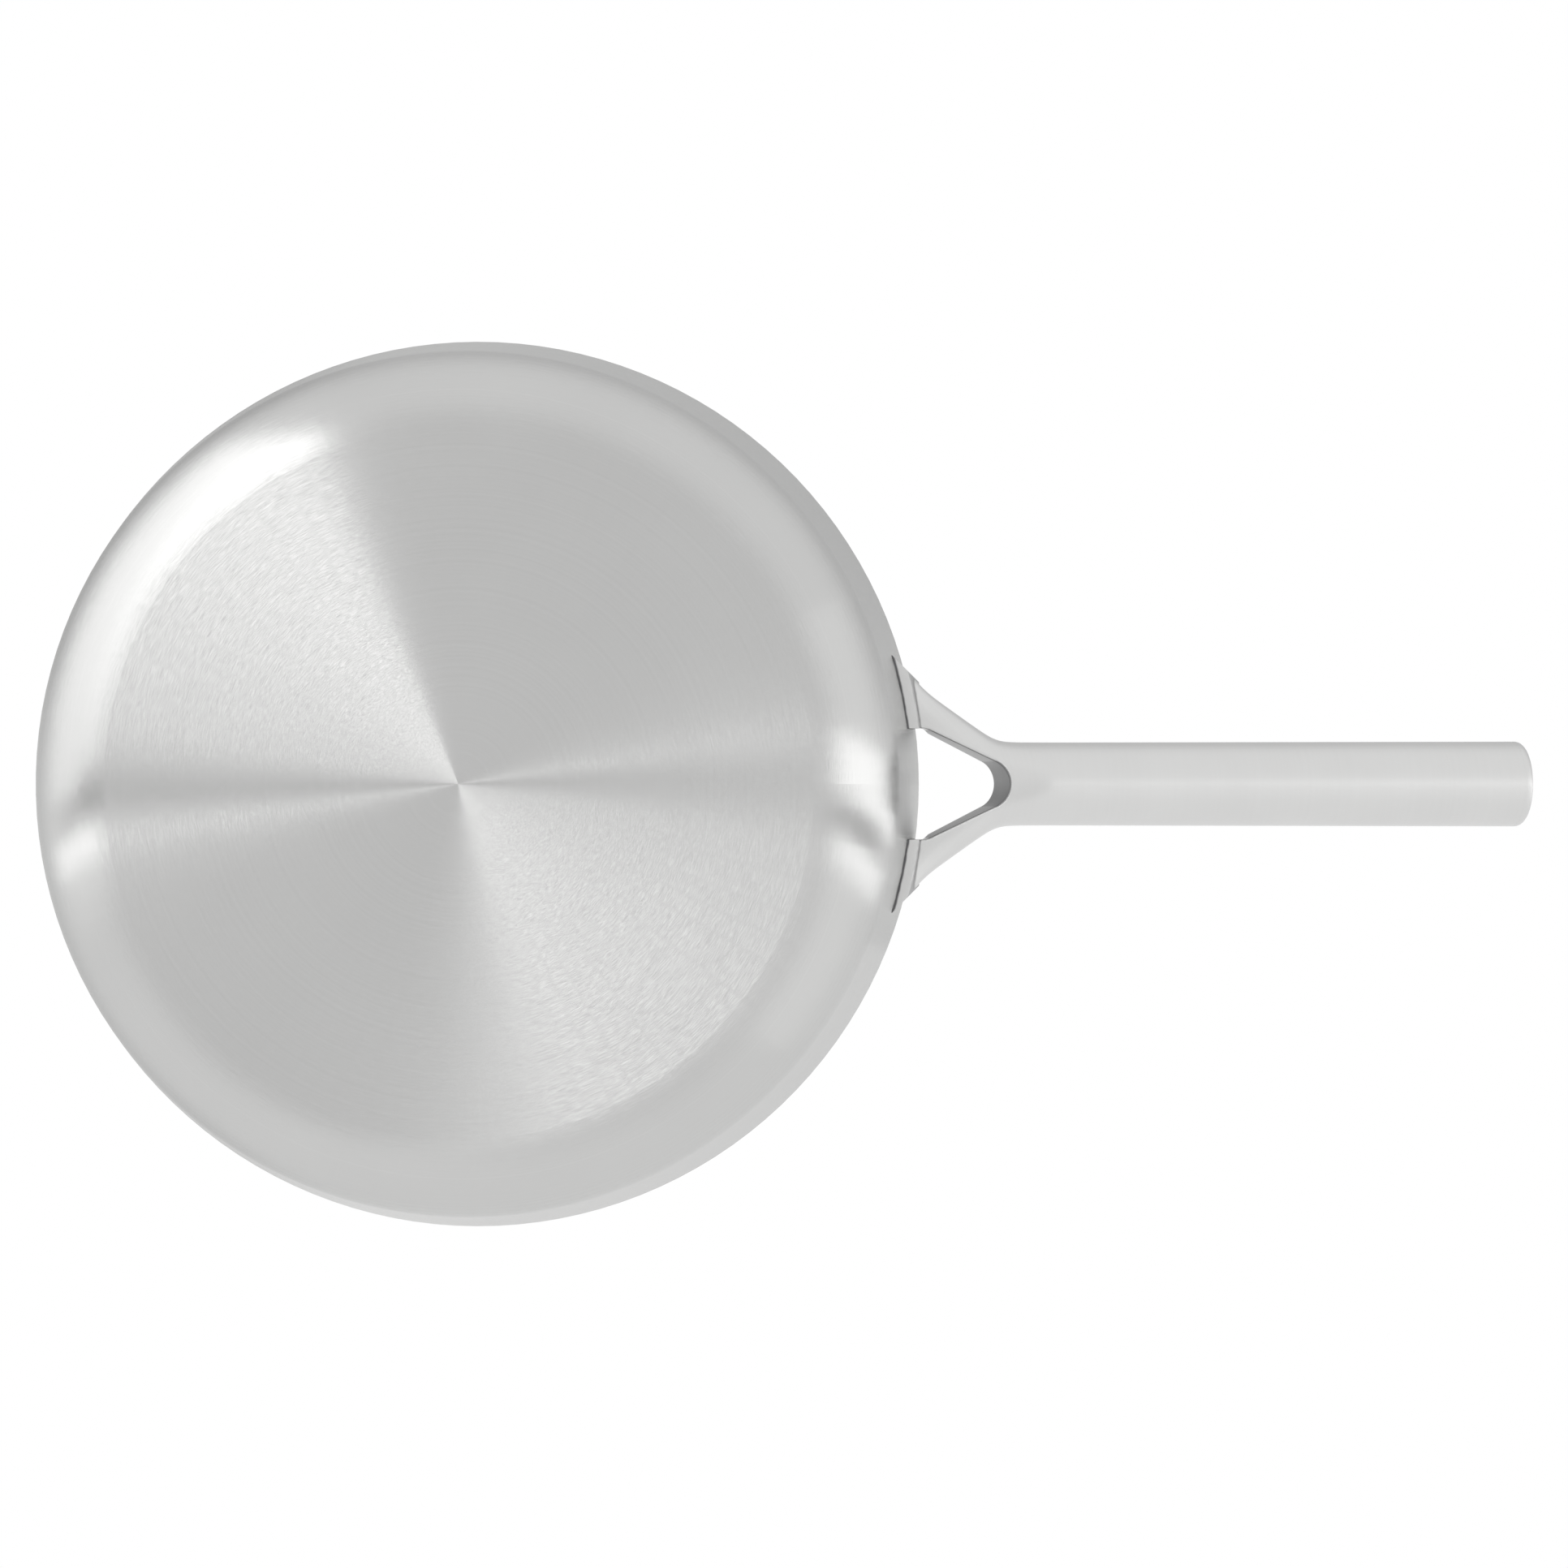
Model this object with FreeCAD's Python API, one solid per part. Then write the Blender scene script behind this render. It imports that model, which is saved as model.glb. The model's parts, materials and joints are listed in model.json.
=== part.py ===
# Clad steel frying pan with a forked tubular handle, in millimetres and degrees.
# Origin: centre of the flat base, on its underside. +X points along the handle, +Z up out of the pan.
import FreeCAD, Part
import math
import os

from FreeCAD import Rotation, Vector

# Pan body
rim_diameter = 267.0        # over the outside of the rim
pan_height = 50.0           # from the base's underside to the top of the rim
wall_lean = 10.0            # the wall's lean outwards from upright
corner_radius = 24.5        # outside radius where the base turns up into the wall
outer_sheet = 0.5           # magnetic steel skin
core_sheet = 1.7            # aluminium core
inner_sheet = 0.4           # cooking surface
rim_round = 0.15            # round on the rim's two outside edges

# Handle, measured along its own centre line from the point above the rim's radius
handle_rise = 14.0          # slope of the centre line
root_drop = 6.2             # depth of that point below the top of the rim
fork_length = 40.0          # to the joint between fork and grip tube
grip_length = 146.5         # grip tube alone
neck_diameter = 25.0        # round section where the fork meets the grip tube
grip_end_diameter = 26.0    # the grip widens slightly towards its end
handle_wall = 1.5           # sheet of the fork and of the grip tube

# Fork
arm_spread = 29.0           # half width over the two arms, level with the rim's radius
arm_height = 10.0           # height of an arm there
arm_run = 23.6              # from there to where the arms' outer sides meet the neck's sides
arm_blend = 1.8             # softness of that meeting
taper_run = 36.0            # to where the fork has its full round height
taper_blend = 1.2
flare_slope = 0.5           # the arms' outer sides turn out more steeply at the pads
flare_start = 1.5
flare_blend = 1.5
fork_behind = 9.0           # how far the blank starts behind the rim's radius, before it is trimmed
opening_half_width = 16.6   # of the opening between the arms, next to the pan
opening_shoulder = 1.0      # past the rim's radius, where its straight sides begin
opening_round = 7.5         # radius of its rounded inner end
opening_reach = 25.6        # from the rim's radius to that end
shoulder_round = 6.0        # where those sides begin
opening_edge_round = 0.8

# Foot pads between the arms and the wall
pad_thickness = 3.6
pad_height = 11.6
pad_reach = 35.4            # from the pan's centre plane to the pad's far edge, at the wall
pad_bevel = 45.0            # slope of the pad's far side in plan
pad_round = 0.6

# Sleeve inside the joint of fork and grip tube
sleeve_length = 10.0
sleeve_wall = 1.0
sleeve_clearance = 0.05     # of the sleeve, and of the cap's spigot, in the grip's bore
seat_relief = 0.1           # the fork's bore is reamed this much wider for the sleeve

# End cap
cap_thickness = 3.0
cap_round = 2.2
cap_spigot = 6.0
cap_wall = 1.2

rim_radius = rim_diameter / 2
neck_radius = neck_diameter / 2
grip_end_radius = grip_end_diameter / 2
lean = math.radians(wall_lean)

# Reach from the flat base's edge out to the rim: the corner's arc, then the straight wall
corner_top = corner_radius * (1 - math.sin(lean))
wall_run = corner_radius * math.cos(lean) + (pan_height - corner_top) * math.tan(lean)
base_radius = rim_radius - wall_run

handle_root = Vector(rim_radius, 0, pan_height - root_drop)
handle_tilt = Rotation(Vector(0, 1, 0), -handle_rise)

# How finely the fork's outer surface follows its sizes
fork_steps = 14
section_points = 32
flat_power = 4.0            # how much squarer than an ellipse the flattened section is


def point(radius, height):
    return Vector(radius, 0, height)


def wall_outline(depth, top):
    """Edges of the pan's profile, `depth` inside the outer face, from the axis up to height `top`."""
    radius = corner_radius - depth
    centre = Vector(base_radius, 0, corner_radius)
    low = point(base_radius, depth)
    half = (math.pi / 2 + lean) / 2
    middle = centre + Vector(radius * math.cos(half), 0, -radius * math.sin(half))
    high = centre + Vector(radius * math.cos(lean), 0, -radius * math.sin(lean))
    end = point(high.x + (top - high.z) * math.tan(lean), top)
    edges = [
        Part.makeLine(point(0, depth), low),
        Part.Arc(low, middle, high).toShape(),
        Part.makeLine(high, end),
    ]
    return edges, end


def revolved(edges):
    face = Part.Face(Part.Wire(Part.__sortEdges__(edges)))
    return face.revolve(Vector(0, 0, 0), Vector(0, 0, 1), 360)


def sheet(outside, inside):
    """One sheet of the clad body, between two depths under the outer face."""
    lower, lower_end = wall_outline(outside, pan_height)
    upper, upper_end = wall_outline(inside, pan_height)
    closing = [
        Part.makeLine(point(0, outside), point(0, inside)),
        Part.makeLine(lower_end, upper_end),
    ]
    return revolved(lower + upper + closing)


def pan_filled(depth):
    """The pan as a filled block, its wall carried on above the rim, `depth` inside the outer face."""
    top = pan_height + corner_radius
    edges, end = wall_outline(depth, top)
    closing = [
        Part.makeLine(point(0, depth), point(0, top)),
        Part.makeLine(point(0, top), end),
    ]
    return revolved(edges + closing)


def rim_edge(shape, radius):
    """The circle on top of a sheet at the given radius."""
    for edge in shape.Edges:
        box = edge.BoundBox
        if abs(box.ZMin - pan_height) < 0.01 and abs(box.ZMax - pan_height) < 0.01:
            if abs(box.XMax - radius) < 0.01:
                return edge
    raise ValueError("no rim edge at this radius")


def body_sheets():
    core_depth = outer_sheet + core_sheet
    total = core_depth + inner_sheet
    outer = sheet(0, outer_sheet)
    outer = outer.makeFillet(rim_round, [rim_edge(outer, rim_radius)])
    inner = sheet(core_depth, total)
    inner = inner.makeFillet(rim_round, [rim_edge(inner, rim_radius - total / math.cos(lean))])
    return {"outer_sheet": outer, "core_sheet": sheet(outer_sheet, core_depth), "inner_sheet": inner}


def on_handle(shape):
    """Move a shape from the handle's own axes, X along the handle, to its place on the pan."""
    shape.Placement = FreeCAD.Placement(handle_root, handle_tilt).multiply(shape.Placement)
    return shape


def fork_section(along, half_width, half_height, flatness):
    """A closed section, round where flatness is 0 and like a flattened tube where it is 1."""
    power = 2 + flat_power * flatness
    points = []
    for index in range(section_points):
        angle = 2 * math.pi * index / section_points
        across = abs(math.cos(angle))
        up = abs(math.sin(angle))
        low, high = 1.0, 2.0
        while high - low > 1e-9:
            middle = (low + high) / 2
            if (middle * across) ** power + (middle * up) ** 2 < 1:
                low = middle
            else:
                high = middle
        points.append(Vector(along, low * half_width * math.cos(angle), low * half_height * math.sin(angle)))
    curve = Part.BSplineCurve()
    curve.interpolate(points, PeriodicFlag=True)
    return Part.Wire(curve.toShape())


def ramp(distance, blend):
    """A straight slope for positive distances that fades softly to 0 for negative ones."""
    return blend * math.log1p(math.exp(distance / blend))


def fork_blank(wall):
    """The fork before its opening is cut, `wall` inside its outer surface."""
    side_slope = (arm_spread - neck_radius) / arm_run
    taper_slope = (neck_radius - arm_height / 2) / taper_run
    sections = []
    for step in range(fork_steps + 1):
        along = -fork_behind + (fork_length + fork_behind) * step / fork_steps
        sides = side_slope * ramp(arm_run - along, arm_blend)
        flare = flare_slope * ramp(flare_start - along, flare_blend)
        taper = taper_slope * ramp(taper_run - along, taper_blend)
        flatness = taper / (taper_slope * taper_run)
        half_width = neck_radius + sides + flare - wall
        sections.append(fork_section(along, half_width, neck_radius - taper - wall, flatness))
    return Part.makeLoft(sections, True)


def opening_block(margin):
    """The rounded triangular opening between the arms, grown by `margin` on its sides."""
    radius = opening_round + margin
    centre = opening_reach - opening_round
    shoulder = Vector(opening_shoulder, opening_half_width + margin, 0)
    run = centre - shoulder.x
    distance = math.hypot(run, shoulder.y)
    slope = math.atan2(shoulder.y, run) - math.asin(radius / distance)
    touch = Vector(centre + radius * math.sin(slope), radius * math.cos(slope), 0)
    start = Vector(-2 * fork_length, shoulder.y, 0)
    near = [start, shoulder, touch]
    far = [Vector(p.x, -p.y, 0) for p in reversed(near)]
    edges = [
        Part.makeLine(near[0], near[1]),
        Part.makeLine(near[1], near[2]),
        Part.Arc(near[2], Vector(centre + radius, 0, 0), far[0]).toShape(),
        Part.makeLine(far[0], far[1]),
        Part.makeLine(far[1], far[2]),
        Part.makeLine(far[2], near[0]),
    ]
    depth = neck_diameter
    face = Part.Face(Part.Wire(edges))
    face.translate(Vector(0, 0, -depth))
    block = face.extrude(Vector(0, 0, 2 * depth))
    corners = [e for e in block.Edges if upright_at(e, shoulder.x)]
    return block.makeFillet(shoulder_round, corners)


def upright_at(edge, along):
    box = edge.BoundBox
    return box.ZLength > neck_diameter and abs(box.XMin - along) < 0.01 and abs(box.XMax - along) < 0.01


def fork():
    """A hollow pressing: open at the arms' ends, which the pads close, and at the neck."""
    body = fork_blank(0).cut(opening_block(0))
    body = body.makeFillet(opening_edge_round, opening_edges(body))
    cavity = fork_blank(handle_wall).cut(opening_block(handle_wall))
    seat_start = Vector(fork_length - sleeve_length / 2, 0, 0)
    seat_radius = neck_radius - handle_wall + seat_relief
    seat = Part.makeCylinder(seat_radius, sleeve_length, seat_start, Vector(1, 0, 0))
    body = on_handle(body.cut(seat)).cut(pan_filled(-pad_thickness))
    return body.cut(on_handle(cavity))


def opening_edges(body):
    """The edges round the opening, above and below, in the handle's own axes."""
    found = []
    for edge in body.Edges:
        first = edge.valueAt(edge.FirstParameter)
        last = edge.valueAt(edge.LastParameter)
        middle = edge.valueAt((edge.FirstParameter + edge.LastParameter) / 2)
        level = abs(first.z - last.z) < edge.Length / 2
        off_seam = abs(middle.z) > arm_height / 4
        beside = abs(middle.y) < opening_half_width + opening_edge_round
        if level and off_seam and beside and 0 < middle.x < opening_reach + opening_edge_round:
            found.append(edge)
    return found


def foot_pad(side):
    """A pad that follows the pan's wall, its far side bevelled towards the arm."""
    shell = pan_filled(-pad_thickness).cut(pan_filled(0))
    centre_height = pan_height - root_drop
    low = centre_height - pad_height / 2
    reach_x = math.sqrt(rim_radius ** 2 - pad_reach ** 2)
    tangent = math.tan(math.radians(pad_bevel))
    near_y = opening_half_width
    far_x = reach_x + (pad_reach - near_y) / tangent
    back_x = rim_radius / 2
    back_y = pad_reach + (reach_x - back_x) * tangent
    corners = [
        Vector(back_x, side * near_y, low),
        Vector(far_x, side * near_y, low),
        Vector(back_x, side * back_y, low),
    ]
    outline = Part.Face(Part.makePolygon(corners + corners[:1]))
    pad = outline.extrude(Vector(0, 0, pad_height)).common(shell)
    outside = [e for e in pad.Edges if on_outer_face(e)]
    return pad.makeFillet(pad_round, outside)


def on_outer_face(edge):
    """True for the edges round the pad's face that the arm stands on."""
    middle = edge.valueAt((edge.FirstParameter + edge.LastParameter) / 2)
    wall_radius = rim_radius - (pan_height - middle.z) * math.tan(lean)
    return math.hypot(middle.x, middle.y) > wall_radius + pad_thickness * 0.9


def ring(start, length, start_radius, end_radius, wall):
    """A round tube along the handle, which may taper."""
    along = Vector(1, 0, 0)
    place = Vector(start, 0, 0)
    if abs(start_radius - end_radius) < 1e-6:
        outside = Part.makeCylinder(start_radius, length, place, along)
        inside = Part.makeCylinder(start_radius - wall, length, place, along)
    else:
        outside = Part.makeCone(start_radius, end_radius, length, place, along)
        inside = Part.makeCone(start_radius - wall, end_radius - wall, length, place, along)
    return outside.cut(inside)


def grip_tube():
    return on_handle(ring(fork_length, grip_length, neck_radius, grip_end_radius, handle_wall))


def plug_radius(start, end):
    """The radius that slides into the grip's bore between two places, whichever way it tapers."""
    widening = (grip_end_radius - neck_radius) / grip_length
    narrowest = min(neck_radius + widening * (place - fork_length) for place in (start, end))
    return narrowest - handle_wall - sleeve_clearance


def joint_sleeve():
    start = fork_length - sleeve_length / 2
    radius = plug_radius(fork_length, start + sleeve_length)
    return on_handle(ring(start, sleeve_length, radius, radius, sleeve_wall))


def end_cap():
    """A plug with a rounded edge, flush with the grip, its spigot inside the tube."""
    start = fork_length + grip_length
    disc = Part.makeCylinder(grip_end_radius, cap_thickness, Vector(start, 0, 0), Vector(1, 0, 0))
    rim = [e for e in disc.Edges if e.BoundBox.XMin > start + cap_thickness - 0.01]
    disc = disc.makeFillet(cap_round, rim)
    radius = plug_radius(start - cap_spigot, start)
    spigot = ring(start - cap_spigot, cap_spigot, radius, radius, cap_wall)
    return on_handle(disc.fuse(spigot))


nodes = body_sheets()
nodes["foot_pad_left"] = foot_pad(1)
nodes["foot_pad_right"] = foot_pad(-1)
nodes["handle_fork"] = fork()
nodes["joint_sleeve"] = joint_sleeve()
nodes["grip_tube"] = grip_tube()
nodes["end_cap"] = end_cap()

os.makedirs("parts", exist_ok=True)
for name, shape in nodes.items():
    shape.exportStep("parts/" + name + ".step")
    box = shape.BoundBox
    print(name, "solids", len(shape.Solids), "valid", shape.isValid(), "cm3", round(shape.Volume / 1000, 2),
          "x", round(box.XMin, 1), round(box.XMax, 1), "z", round(box.ZMin, 1), round(box.ZMax, 1))
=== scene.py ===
import json
import math

import bpy
from mathutils import Matrix, Vector


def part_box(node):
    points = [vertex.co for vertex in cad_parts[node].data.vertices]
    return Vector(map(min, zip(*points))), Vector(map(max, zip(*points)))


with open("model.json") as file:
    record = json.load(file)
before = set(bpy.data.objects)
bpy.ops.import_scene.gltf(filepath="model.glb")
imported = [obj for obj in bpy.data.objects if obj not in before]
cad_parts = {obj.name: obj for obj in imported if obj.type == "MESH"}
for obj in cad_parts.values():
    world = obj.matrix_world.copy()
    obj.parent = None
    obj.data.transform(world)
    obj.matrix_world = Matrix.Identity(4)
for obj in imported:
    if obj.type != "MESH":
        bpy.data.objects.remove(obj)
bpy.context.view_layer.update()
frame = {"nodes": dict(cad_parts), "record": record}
print("frame loaded:", len(frame["nodes"]), "nodes")

millimetre = 0.001
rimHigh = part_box("outer_sheet")[1]
rimRadius = rimHigh.x
rimHeight = rimHigh.z

# the handle's centre line runs through the middle of the grip, square to the hanging opening's axis
mounts = {mount["name"]: mount for mount in frame["record"]["mounts"]}
openingAxis = Vector(mounts["hanging_opening"]["axis"])
handleLine = Vector((openingAxis.z, 0, -openingAxis.x))
gripLow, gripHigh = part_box("grip_tube")
gripMiddle = (gripLow + gripHigh) / 2


class Tree:
    # Adds nodes one after another and links what each is given.
    def __init__(self, tree):
        self.tree = tree
        self.tree.nodes.clear()

    def add(self, kind, settings=None, **inputs):
        node = self.tree.nodes.new(kind)
        for name, value in (settings or {}).items():
            setattr(node, name, value)
        for name, value in inputs.items():
            self.put(node, name.replace("_", " "), value)
        return node

    def put(self, node, name, value):
        # an input by its name, or by its place as i0, i1 and so on
        byPlace = name[0] == "i" and name[1:].isdigit()
        socket = node.inputs[int(name[1:]) if byPlace else name]
        if isinstance(value, bpy.types.NodeSocket):
            self.tree.links.new(value, socket)
        else:
            socket.default_value = value

    def putAll(self, node, values):
        for index, value in enumerate(values):
            self.put(node, "i%d" % index, value)

    def math(self, operation, first, second=0.0, third=0.0):
        node = self.add("ShaderNodeMath", {"operation": operation})
        self.putAll(node, (first, second, third))
        return node.outputs[0]

    def vector(self, operation, first, second=(0, 0, 0)):
        node = self.add("ShaderNodeVectorMath", {"operation": operation})
        self.put(node, "i0", first)
        if operation == "SCALE":
            self.put(node, "Scale", second)
        elif operation not in ("NORMALIZE", "LENGTH"):
            self.put(node, "i1", second)
        return node.outputs[1] if operation in ("DOT_PRODUCT", "LENGTH") else node.outputs[0]

    def split(self, value):
        return self.add("ShaderNodeSeparateXYZ", i0=value).outputs

    def ramp(self, value, low, high, start=0.0, end=1.0, smooth=True):
        curve = "SMOOTHSTEP" if smooth else "LINEAR"
        node = self.add("ShaderNodeMapRange", {"interpolation_type": curve})
        self.putAll(node, (value, low, high, start, end))
        return node.outputs[0]

    def noise(self, vector, scale, detail=2.0):
        return self.add("ShaderNodeTexNoise", Vector=vector, Scale=scale, Detail=detail).outputs["Fac"]

    def tint(self, first, second, amount):
        # places 6 and 7 are the Mix node's two colours, and its outlet 2 is the mixed one
        node = self.add("ShaderNodeMix", {"data_type": "RGBA"}, i0=amount, i6=first, i7=second)
        return node.outputs[2]

    def fromAxis(self, x, y):
        return self.math("SQRT", self.math("MULTIPLY_ADD", x, x, self.math("MULTIPLY", y, y)))

    def centred(self, noise, depth):
        return self.math("MULTIPLY", self.math("SUBTRACT", noise, 0.5), depth)


def newMaterial(name):
    material = bpy.data.materials.new(name)
    material.use_nodes = True
    return material, Tree(material.node_tree)


# brushed steel, with grain that runs round an axis
def brushedSteel(name, look, centre, axis, paintedShade=None):
    material, tree = newMaterial(name)
    place = tree.add("ShaderNodeTexCoord").outputs["Object"]
    normal = tree.add("ShaderNodeNewGeometry").outputs["Normal"]
    fromCentre = tree.vector("SUBTRACT", place, centre)
    grain = tree.vector("NORMALIZE", tree.vector("CROSS_PRODUCT", axis, fromCentre))
    across = tree.vector("NORMALIZE", tree.vector("CROSS_PRODUCT", grain, normal))
    tangent = across
    if look["drift"]:
        # the lines leave their circles a little where the brush was lifted, on one side of the base
        side = tree.math("MAXIMUM", tree.split(tree.vector("NORMALIZE", fromCentre))[1], 0.0)
        turned = tree.math("MULTIPLY", tree.math("MULTIPLY", side, side), math.radians(look["drift"]))
        tangent = tree.vector("NORMALIZE", tree.vector("ADD", across, tree.vector("SCALE", grain, turned)))

    # scratches are long along the grain and very narrow across it
    alongAxis = tree.vector("DOT_PRODUCT", fromCentre, axis)
    offAxis = tree.vector("SUBTRACT", fromCentre, tree.vector("SCALE", axis, alongAxis))
    line = tree.math("ADD", tree.vector("LENGTH", offAxis), alongAxis)
    turn = tree.vector("SCALE", tree.vector("NORMALIZE", offAxis), look["scratchTurn"])
    pitch = tree.vector("SCALE", axis, tree.math("MULTIPLY", line, look["scratchPitch"]))
    fine = tree.noise(tree.vector("ADD", turn, pitch), 1.0, look["fineDetail"])
    tilt = tree.centred(fine, look["tilt"])
    bent = tree.vector("NORMALIZE", tree.vector("ADD", normal, tree.vector("SCALE", across, tilt)))

    # broad rings left by the brush, and soft clouds of handling
    rings = tree.vector("SCALE", axis, tree.math("MULTIPLY", line, look["ringPitch"]))
    ring = tree.noise(rings, 1.0, look["broadDetail"])
    cloud = tree.noise(place, look["cloudScale"], look["broadDetail"])
    mottle = tree.math("ADD", tree.centred(ring, look["ringDepth"]), tree.centred(cloud, look["cloudDepth"]))
    colour = tree.tint(look["dark"] + (1,), look["bright"] + (1,), tree.math("ADD", mottle, 0.5))
    roughness = look["roughness"]
    # painted shade: dark lines in the feet's gap and crease at the wall, and darker sides in the opening
    if paintedShade:
        # how far a point stands off the pan's leaning wall
        x, y, z = tree.split(place)
        lean = math.radians(paintedShade["wallLean"])
        wall = tree.math("MULTIPLY_ADD", tree.math("SUBTRACT", z, rimHeight), math.tan(lean), rimRadius)
        depth = tree.math("MULTIPLY", tree.math("SUBTRACT", tree.fromAxis(x, y), wall), math.cos(lean))
        depth = tree.math("ADD", depth, tree.centred(tree.noise(place, paintedShade["waveScale"]), paintedShade["wave"]))
        # painted shade along the gap and the crease where the foot meets the wall
        shade = 0.0
        for stand, width, strength in paintedShade["lines"]:
            off = tree.math("ABSOLUTE", tree.math("SUBTRACT", depth, stand))
            drawn = tree.ramp(off, width * paintedShade["solidShare"], width, strength, 0.0)
            shade = tree.math("MAXIMUM", shade, drawn)
        # painted shade: the opening's sides that turn back to the pan are darkened, as the shade inside the
        # opening
        inward = tree.math("MULTIPLY", tree.vector("DOT_PRODUCT", normal, axis), -1.0)
        shade = tree.math("MAXIMUM", shade, tree.ramp(inward, *paintedShade["openingShadeTurn"], 0.0, paintedShade["openingPaintedShade"]))
        colour = tree.tint(colour, paintedShade["colour"] + (1,), shade)
        roughness = tree.math("MULTIPLY_ADD", shade, paintedShade["roughness"], roughness)

    shader = tree.add("ShaderNodeBsdfPrincipled")
    shader.inputs["Metallic"].default_value = 1.0
    shader.inputs["Anisotropic"].default_value = look["anisotropy"]
    tree.put(shader, "Base Color", colour)
    tree.put(shader, "Roughness", roughness)
    tree.put(shader, "Normal", bent)
    tree.put(shader, "Tangent", tangent)
    tree.add("ShaderNodeOutputMaterial", Surface=shader.outputs[0])
    return material


bodyLook = {
    "dark": (0.52, 0.52, 0.515),
    "bright": (0.6, 0.6, 0.595),
    "roughness": 0.21,
    "anisotropy": 1.0,
    "tilt": 0.8,                 # of the scratches' sides
    "drift": 17.0,               # degrees that the grain leaves its circles
    "scratchPitch": 45000.0,     # scratches in a metre, across the grain
    "scratchTurn": 30.0,         # scratches in a radian, along it
    "fineDetail": 1.0,
    "ringPitch": 900.0,          # rings in a metre
    "ringDepth": 0.5,
    "cloudScale": 18.0,
    "cloudDepth": 0.6,
    "broadDetail": 3.0,
}
insideLook = dict(bodyLook, dark=(0.56, 0.56, 0.555), bright=(0.64, 0.64, 0.635), drift=0.0)
handleLook = dict(bodyLook, dark=(0.6, 0.6, 0.595), bright=(0.68, 0.68, 0.675), drift=0.0,
                  cloudScale=40.0, ringDepth=0.3, roughness=0.36, anisotropy=0.2, tilt=0.3)
hiddenLook = dict(handleLook, dark=(0.42, 0.42, 0.415), bright=(0.54, 0.54, 0.535), roughness=0.4)

# painted shade lines in the gap and the crease where each foot meets the wall: how far each stands off the
# wall, its half width and its strength
footPaintedShade = {
    "wallLean": 10.0,            # degrees, of the pan's wall
    "lines": ((0.0, 0.8 * millimetre, 0.88), (3.6 * millimetre, 0.5 * millimetre, 0.45)),
    "solidShare": 0.3,           # of the half width, before the line fades
    "wave": 0.5 * millimetre,
    "waveScale": 300.0,
    # painted shade on the opening's sides
    "openingPaintedShade": 0.62,
    "openingShadeTurn": (0.3, 0.5),       # how far a face turns back to the pan before it darkens
    "colour": (0.07, 0.07, 0.075),
    "roughness": 0.2,            # added where it is dark
}

panUp = (0, 0, 1)
panMiddle = (0, 0, 0)
outerSteel = brushedSteel("outerSteel", bodyLook, panMiddle, panUp)
insideSteel = brushedSteel("insideSteel", insideLook, panMiddle, panUp)
handleSteel = brushedSteel("handleSteel", handleLook, gripMiddle, handleLine, footPaintedShade)
hiddenSteel = brushedSteel("hiddenSteel", hiddenLook, gripMiddle, handleLine)


# aluminium of the core's cut edge, turned in rings
coreLook = {
    "dark": (0.7, 0.7, 0.71, 1),
    "bright": (0.86, 0.86, 0.87, 1),
    "ringPitch": 6000.0,         # rings in a metre
    "roughness": 0.3,
    "roughnessSpread": 0.12,
    "bump": 0.15,
}
coreAluminium, tree = newMaterial("coreAluminium")
x, y, z = tree.split(tree.add("ShaderNodeTexCoord").outputs["Object"])
rings = tree.vector("SCALE", panUp, tree.math("MULTIPLY", tree.fromAxis(x, y), coreLook["ringPitch"]))
turning = tree.noise(rings, 1.0)
ringRoughness = tree.math("MULTIPLY_ADD", turning, coreLook["roughnessSpread"], coreLook["roughness"])
shader = tree.add("ShaderNodeBsdfPrincipled")
shader.inputs["Metallic"].default_value = 1.0
tree.put(shader, "Base Color", tree.tint(coreLook["dark"], coreLook["bright"], turning))
tree.put(shader, "Roughness", ringRoughness)
tree.put(shader, "Normal", tree.add("ShaderNodeBump", Strength=coreLook["bump"], Height=turning).outputs[0])
tree.add("ShaderNodeOutputMaterial", Surface=shader.outputs[0])

finishes = {
    "outer_sheet": outerSteel,
    "inner_sheet": insideSteel,
    "core_sheet": coreAluminium,
    "joint_sleeve": hiddenSteel,
}
for nodeName, item in frame["nodes"].items():
    item.data.materials.clear()
    item.data.materials.append(finishes.get(nodeName, handleSteel))
print("finishes set")


# camera, under the pan and a little towards the handle
view = {
    "distance": 1.5,             # from the rim's plane
    "aside": 0.0928,             # from the pan's middle to the view's axis, towards the handle
    "tilt": math.radians(2.6),
    "sensor": 36.0,
    "focal": 114.1,
    "clipEnd": 50.0,
}
ahead = Vector((-math.sin(view["tilt"]), 0, math.cos(view["tilt"])))
right = Vector((math.cos(view["tilt"]), 0, math.sin(view["tilt"])))
top = Vector((0, -1, 0))
eye = Vector((0, 0, rimHeight)) - ahead * view["distance"] + right * view["aside"]
cameraData = bpy.data.cameras.new("underCamera")
cameraData.lens = view["focal"]
cameraData.sensor_width = view["sensor"]
cameraData.clip_end = view["clipEnd"]
camera = bpy.data.objects.new("underCamera", cameraData)
bpy.context.scene.collection.objects.link(camera)
camera.matrix_world = Matrix.Translation(eye) @ Matrix((right, top, -ahead)).transposed().to_4x4()
bpy.context.scene.camera = camera
bpy.context.scene.view_settings.view_transform = "Standard"
print("camera set")


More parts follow.
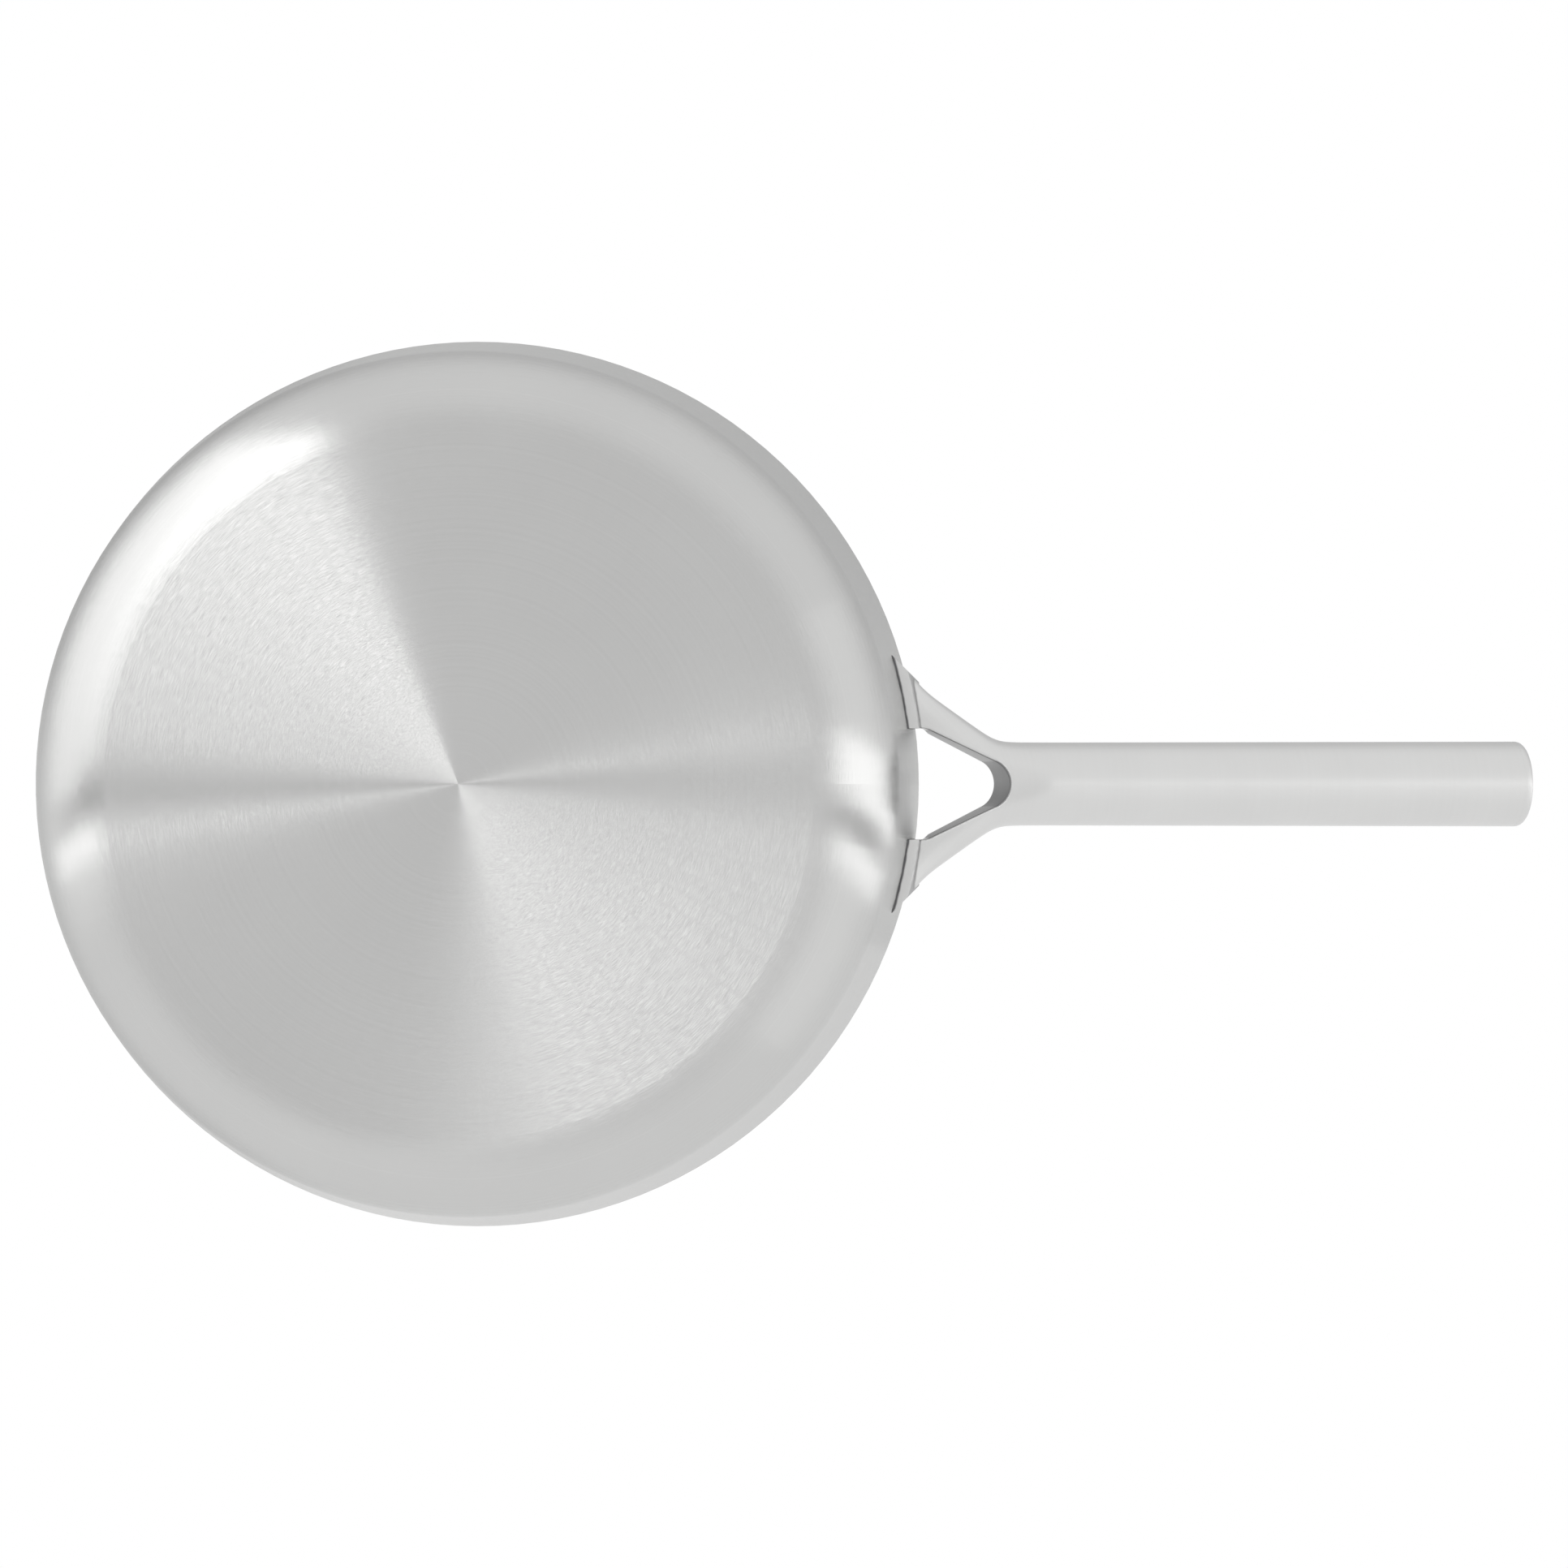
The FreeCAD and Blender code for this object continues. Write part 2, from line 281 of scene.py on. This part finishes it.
# a paper floor that shows only from above
floorPlan = {"size": 12.0, "drop": 0.4 * millimetre, "colour": (0.86, 0.86, 0.86, 1)}
bpy.ops.object.select_all(action="DESELECT")
bpy.ops.mesh.primitive_plane_add(size=floorPlan["size"], location=(0, 0, -floorPlan["drop"]))
floor = bpy.context.object
floor.name = "studioFloor"
floorMaterial, tree = newMaterial("floorPaper")
rays = tree.add("ShaderNodeLightPath").outputs
behind = tree.add("ShaderNodeNewGeometry").outputs["Backfacing"]
shown = tree.math("MULTIPLY", rays["Is Camera Ray"], tree.math("SUBTRACT", 1.0, behind))
paper = tree.add("ShaderNodeBsdfDiffuse", Color=floorPlan["colour"])
clear = tree.add("ShaderNodeBsdfTransparent")
mixed = tree.add("ShaderNodeMixShader", i0=shown, i1=clear.outputs[0], i2=paper.outputs[0])
tree.add("ShaderNodeOutputMaterial", Surface=mixed.outputs[0])
floor.data.materials.append(floorMaterial)

# The studio's light, with soft panels. Heights up and down are shares of a direction's length.
# A panel: azimuths of its two sides in degrees, how far they slant by the time they are level, how far
# down its lower and upper limits are, how soft the first one is, and the light added at each side.
studio = {
    "level": 1.02,
    "below": 0.85,
    "belowHeights": (0.8, 0.97),
    "roof": 1.0,
    "roofHeights": (0.3, 0.9),
    "roofShade": -0.32,          # on one side of the handle only
    "shadeHeights": (0.1, 0.9),
    "shadeSide": (0.05, -0.25),
    "panels": (
        (183.5, 250.0, -12.0, 0.75, 0.985, 0.1, 0.32, 1.15),
        (183.5, 250.0, -13.5, -0.3, 0.985, 0.4, 0.38, 0.82),
        (170.0, 175.0, -4.0, 0.7, 0.985, 0.1, 0.9, 0.9),
        (170.0, 175.0, -4.0, -0.2, 0.985, 0.2, 0.7, 0.7),
        (160.0, 170.0, -4.0, -0.2, 0.985, 0.2, 0.02, 0.2),
        (175.0, 183.5, -4.0, 0.75, 0.985, 0.1, -0.65, -0.65),
        (176.0, 181.0, -4.0, -0.2, 0.985, 0.3, -0.38, -0.38),
        (-8.5, 1.0, 4.0, -0.8, 0.9, 0.1, 0.68, 0.68),
        (-10.0, 14.0, 4.0, -0.99, -0.8, 0.05, -0.2, -0.2),
        (1.5, 6.0, 4.0, -0.3, 0.92, 0.3, -0.52, -0.52),
        (6.0, 11.0, 4.0, -0.6, 0.9, 0.1, 0.75, 0.4),
        (-26.0, 40.0, 0.0, -0.2, 0.92, 0.2, 0.1, 0.1),
    ),
    "sideEdge": 0.8,             # softness of the panels' sides, in degrees
    "highEdge": 0.02,            # softness of their limits straight below
    "hoodSides": (115.0, 250.0),
    "hoodEdge": 15.0,
    "hoodHeights": (0.3, 0.7),
    "hoodShade": -0.2,
}
world = bpy.data.worlds.new("studioWorld")
bpy.context.scene.world = world
world.use_nodes = True
tree = Tree(world.node_tree)
towards = tree.vector("NORMALIZE", tree.add("ShaderNodeTexCoord").outputs["Generated"])
east, north, up = tree.split(towards)
down = tree.math("MULTIPLY", up, -1.0)
# the panels' sides meet a little off straight down, where the base mirrors the view's place
east = tree.math("ADD", east, eye.x / eye.length)
azimuth = tree.math("DEGREES", tree.math("ARCTAN2", north, east))
light = tree.ramp(down, *studio["belowHeights"], studio["level"], studio["below"])
roofChange = studio["roof"] - studio["level"]
light = tree.math("ADD", light, tree.ramp(up, *studio["roofHeights"], 0.0, roofChange))
shaded = tree.math("MULTIPLY", tree.ramp(up, *studio["shadeHeights"]), tree.ramp(north, *studio["shadeSide"]))
light = tree.math("MULTIPLY_ADD", shaded, studio["roofShade"], light)


def sector(first, last, edge, slant=0.0):
    # 1 between two azimuths, and the distance from their middle
    middle = (first + last) / 2
    half = (last - first) / 2
    leaning = tree.math("MULTIPLY_ADD", tree.math("SUBTRACT", 1.0, down), -slant, azimuth)
    off = tree.math("WRAP", tree.math("SUBTRACT", leaning, middle), 180.0, -180.0)
    return tree.ramp(tree.math("ABSOLUTE", off), half - edge, half + edge, 1.0, 0.0), off


for first, last, slant, low, high, softLow, gainFirst, gainLast in studio["panels"]:
    half = (last - first) / 2
    beside, off = sector(first, last, studio["sideEdge"], slant)
    gain = tree.ramp(off, -half, half, gainFirst, gainLast, smooth=False)
    ends = tree.math("MULTIPLY", tree.ramp(down, low, low + softLow),
                     tree.ramp(down, high - studio["highEdge"], high, 1.0, 0.0))
    light = tree.math("MULTIPLY_ADD", tree.math("MULTIPLY", beside, ends), gain, light)
hood = sector(*studio["hoodSides"], studio["hoodEdge"])[0]
hooded = tree.math("MULTIPLY", hood, tree.ramp(up, *studio["hoodHeights"]))
light = tree.math("MULTIPLY_ADD", hooded, studio["hoodShade"], light)

# what the camera sees behind the pan is plain white
rays = tree.add("ShaderNodeLightPath").outputs
strength = tree.add("ShaderNodeMix", {"data_type": "FLOAT"}, i0=rays["Is Camera Ray"], i2=light, i3=1.0)
background = tree.add("ShaderNodeBackground", Color=(1, 1, 1, 1), Strength=strength.outputs[0])
tree.add("ShaderNodeOutputWorld", Surface=background.outputs[0])
print("studio set")
